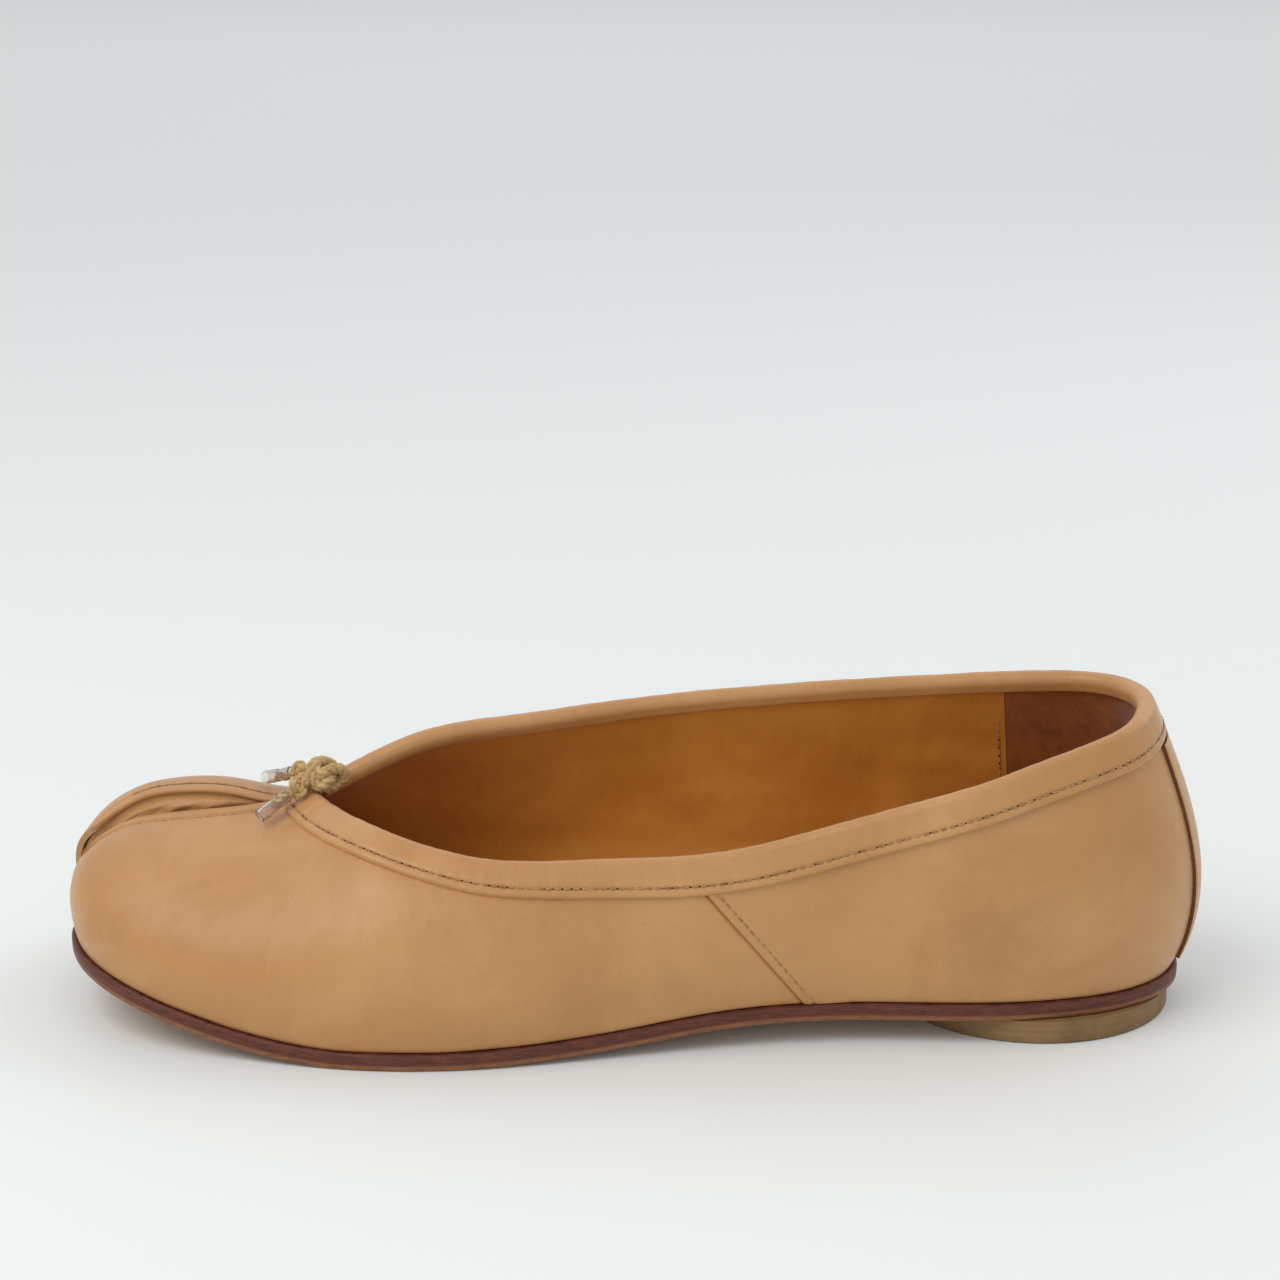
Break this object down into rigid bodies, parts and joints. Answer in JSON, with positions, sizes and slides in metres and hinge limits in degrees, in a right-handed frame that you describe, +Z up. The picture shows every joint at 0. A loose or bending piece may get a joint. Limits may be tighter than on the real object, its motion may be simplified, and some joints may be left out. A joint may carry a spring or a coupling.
{
  "type": "ballet slipper",
  "caption": "Flat split-toe ballet slipper, left foot, tan leather with a folded topline binding, drawcord knot at the throat and a round leather heel disc.",
  "frame": {"origin": "on the floor, under the middle of the shoe's bounding box", "axes": "+X along the shoe toward the heel, +Y toward the inner side of the foot, +Z up"},
  "size_m": [0.2492, 0.0894, 0.0691],
  "materials": {
    "upper_leather": "smooth natural tan",
    "binding_leather": "smooth natural tan",
    "sole_leather": "stained edge",
    "lift_leather": "raw edge",
    "lining_leather": "polished",
    "suede": "brushed",
    "board": "fibre board",
    "cork": "cork",
    "stiffener": "stiffener sheet",
    "steel": "spring steel",
    "brass": "plain",
    "cord": "waxed cotton",
    "thread": "sewing thread",
    "clear_plastic": "clear tube"
  },
  "bodies": {
    "shoe": {"outsole": "sole_leather", "heel_lift": "lift_leather", "heel_nails": "brass", "insole_board": "board", "bottom_filler": "cork", "shank": "steel", "sock_lining": "lining_leather", "vamp_lateral": "upper_leather", "vamp_medial": "upper_leather", "toe_gusset": "upper_leather", "quarter_lateral": "upper_leather", "quarter_medial": "upper_leather", "back_stay": "upper_leather", "topline_binding": "binding_leather", "draw_cord": "cord", "throat_knot": "cord", "lining_lateral": "lining_leather", "lining_medial": "lining_leather", "heel_grip": "suede", "heel_counter": "stiffener", "toe_puff_lateral": "stiffener", "toe_puff_medial": "stiffener", "stitch_topline": "thread", "stitch_side_lateral": "thread", "stitch_side_medial": "thread", "stitch_toe_lateral": "thread", "stitch_toe_medial": "thread", "stitch_grip": "thread"},
    "tail_lateral": {"tail_knot_lateral": "cord", "aglet_lateral": "clear_plastic"},
    "tail_medial": {"tail_knot_medial": "cord", "aglet_medial": "clear_plastic"}
  },
  "joints": [
    {"name": "lateral_tail_lift", "type": "hinge", "parent": "shoe", "child": "tail_lateral", "pos_m": [-0.06967, 0.00006, 0.04891], "axis": [-0.5718, 0.8204, 0], "range_deg": [0, 30]},
    {"name": "medial_tail_lift", "type": "hinge", "parent": "shoe", "child": "tail_medial", "pos_m": [-0.07003, 0.00465, 0.04949], "axis": [0.5487, 0.836, 0], "range_deg": [0, 30]}
  ]
}
